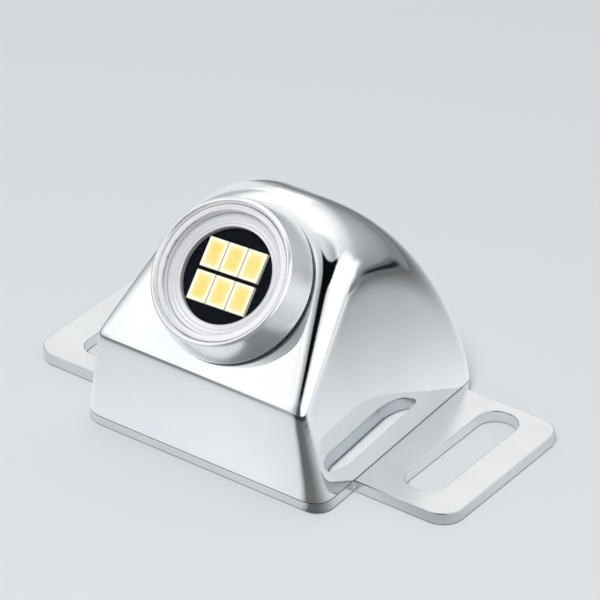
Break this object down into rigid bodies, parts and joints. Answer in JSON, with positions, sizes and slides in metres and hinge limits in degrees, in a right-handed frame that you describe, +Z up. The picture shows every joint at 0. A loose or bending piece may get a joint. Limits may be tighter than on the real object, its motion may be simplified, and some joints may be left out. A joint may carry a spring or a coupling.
{
  "type": "reversing light",
  "caption": "Small reversing light for a car: a chromed wedge hood on a slotted steel plate, with a round aluminium lamp unit set in its sloping face.",
  "frame": {"origin": "underside of the base plate, midway between the two ear slots", "axes": "+X across the ears, +Y towards the back of the hood, +Z up and out of the base plate; the lamp faces -Y and up"},
  "size_m": [0.07, 0.041, 0.0363],
  "materials": {
    "plate_steel": "polished",
    "hood_chrome": "mirror chrome on a zinc casting",
    "screw_steel": "zinc plated",
    "bezel_aluminium": "fine turned",
    "ring_chrome": "polished",
    "can_aluminium": "satin",
    "black_rubber": "matt",
    "lens_clear": "clear",
    "board_black": "satin",
    "board_green": "satin",
    "chip_black": "matt",
    "heat_pad": "matt",
    "led_cream": "gloss",
    "led_yellow": "matt"
  },
  "bodies": {
    "root": {"base_plate": "plate_steel", "housing": "hood_chrome", "base_gasket": "black_rubber", "base_screws": "screw_steel", "cable_grommet": "black_rubber", "bezel": "bezel_aluminium", "bezel_seal": "black_rubber", "nut_washer": "screw_steel", "bezel_nut": "bezel_aluminium", "lens": "lens_clear", "lens_seal": "black_rubber", "reflector_ring": "ring_chrome", "led_board": "board_black", "thermal_pad": "heat_pad", "led_package_1": "led_cream", "led_package_2": "led_cream", "led_package_3": "led_cream", "led_package_4": "led_cream", "led_package_5": "led_cream", "led_package_6": "led_cream", "led_phosphor_1": "led_yellow", "led_phosphor_2": "led_yellow", "led_phosphor_3": "led_yellow", "led_phosphor_4": "led_yellow", "led_phosphor_5": "led_yellow", "led_phosphor_6": "led_yellow", "driver_board": "board_green", "rectifier": "chip_black", "regulator": "chip_black", "resistors": "chip_black", "inductor": "chip_black", "capacitor": "can_aluminium", "rear_plug": "black_rubber"}
  },
  "joints": []
}
